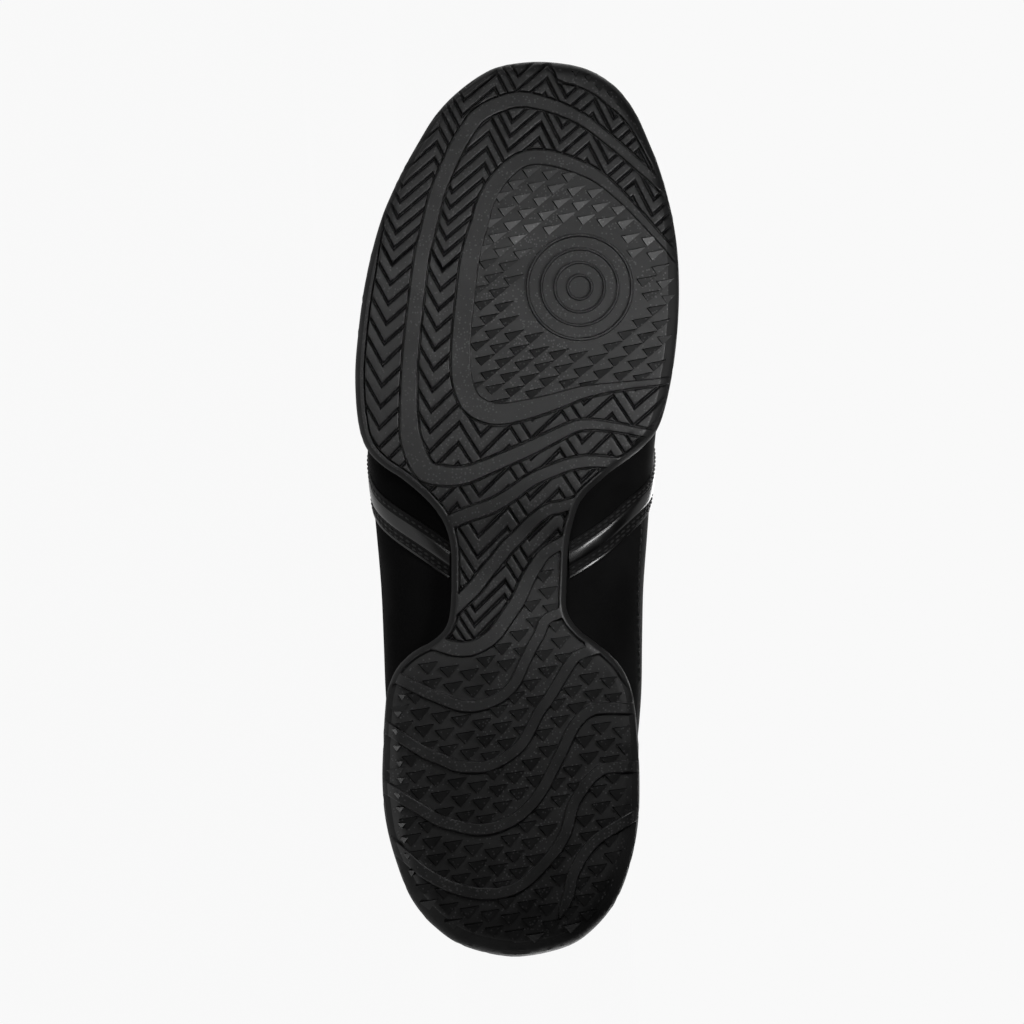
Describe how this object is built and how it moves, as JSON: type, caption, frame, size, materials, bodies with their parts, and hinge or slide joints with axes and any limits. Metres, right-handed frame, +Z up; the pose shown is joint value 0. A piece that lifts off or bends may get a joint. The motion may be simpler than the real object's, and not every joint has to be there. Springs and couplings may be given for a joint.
{
  "type": "boxing shoe",
  "caption": "Black high-top boxing shoe for the right foot, with a thin wrap-up rubber sole narrow at the waist, lying on its outer side.",
  "frame": {"origin": "middle of the underside of the shoe's box, on the floor it lies on", "axes": "+X from toe to heel, +Y from the tread to the collar, +Z up, from the outer to the inner side of the foot"},
  "size_m": [0.294, 0.1764, 0.1092],
  "materials": {
    "rubber": "satin black moulded rubber",
    "suede": "matt black suede",
    "lining": "black fabric over a thin board",
    "cloth": "black padded fabric",
    "gloss": "glossy black coated leather",
    "cord": "flat black woven lace",
    "eyelet": "black painted ring"
  },
  "bodies": {
    "root": {"outsole": "rubber", "upper": "suede", "insole": "lining", "tongue": "cloth", "saddle_strip_lateral": "gloss", "saddle_strip_medial": "gloss", "lace": "cord", "eyelet_lateral_1": "eyelet", "eyelet_medial_1": "eyelet", "eyelet_lateral_2": "eyelet", "eyelet_medial_2": "eyelet", "eyelet_lateral_3": "eyelet", "eyelet_medial_3": "eyelet", "eyelet_lateral_4": "eyelet", "eyelet_medial_4": "eyelet", "eyelet_lateral_5": "eyelet", "eyelet_medial_5": "eyelet", "eyelet_lateral_6": "eyelet", "eyelet_medial_6": "eyelet"}
  },
  "joints": []
}
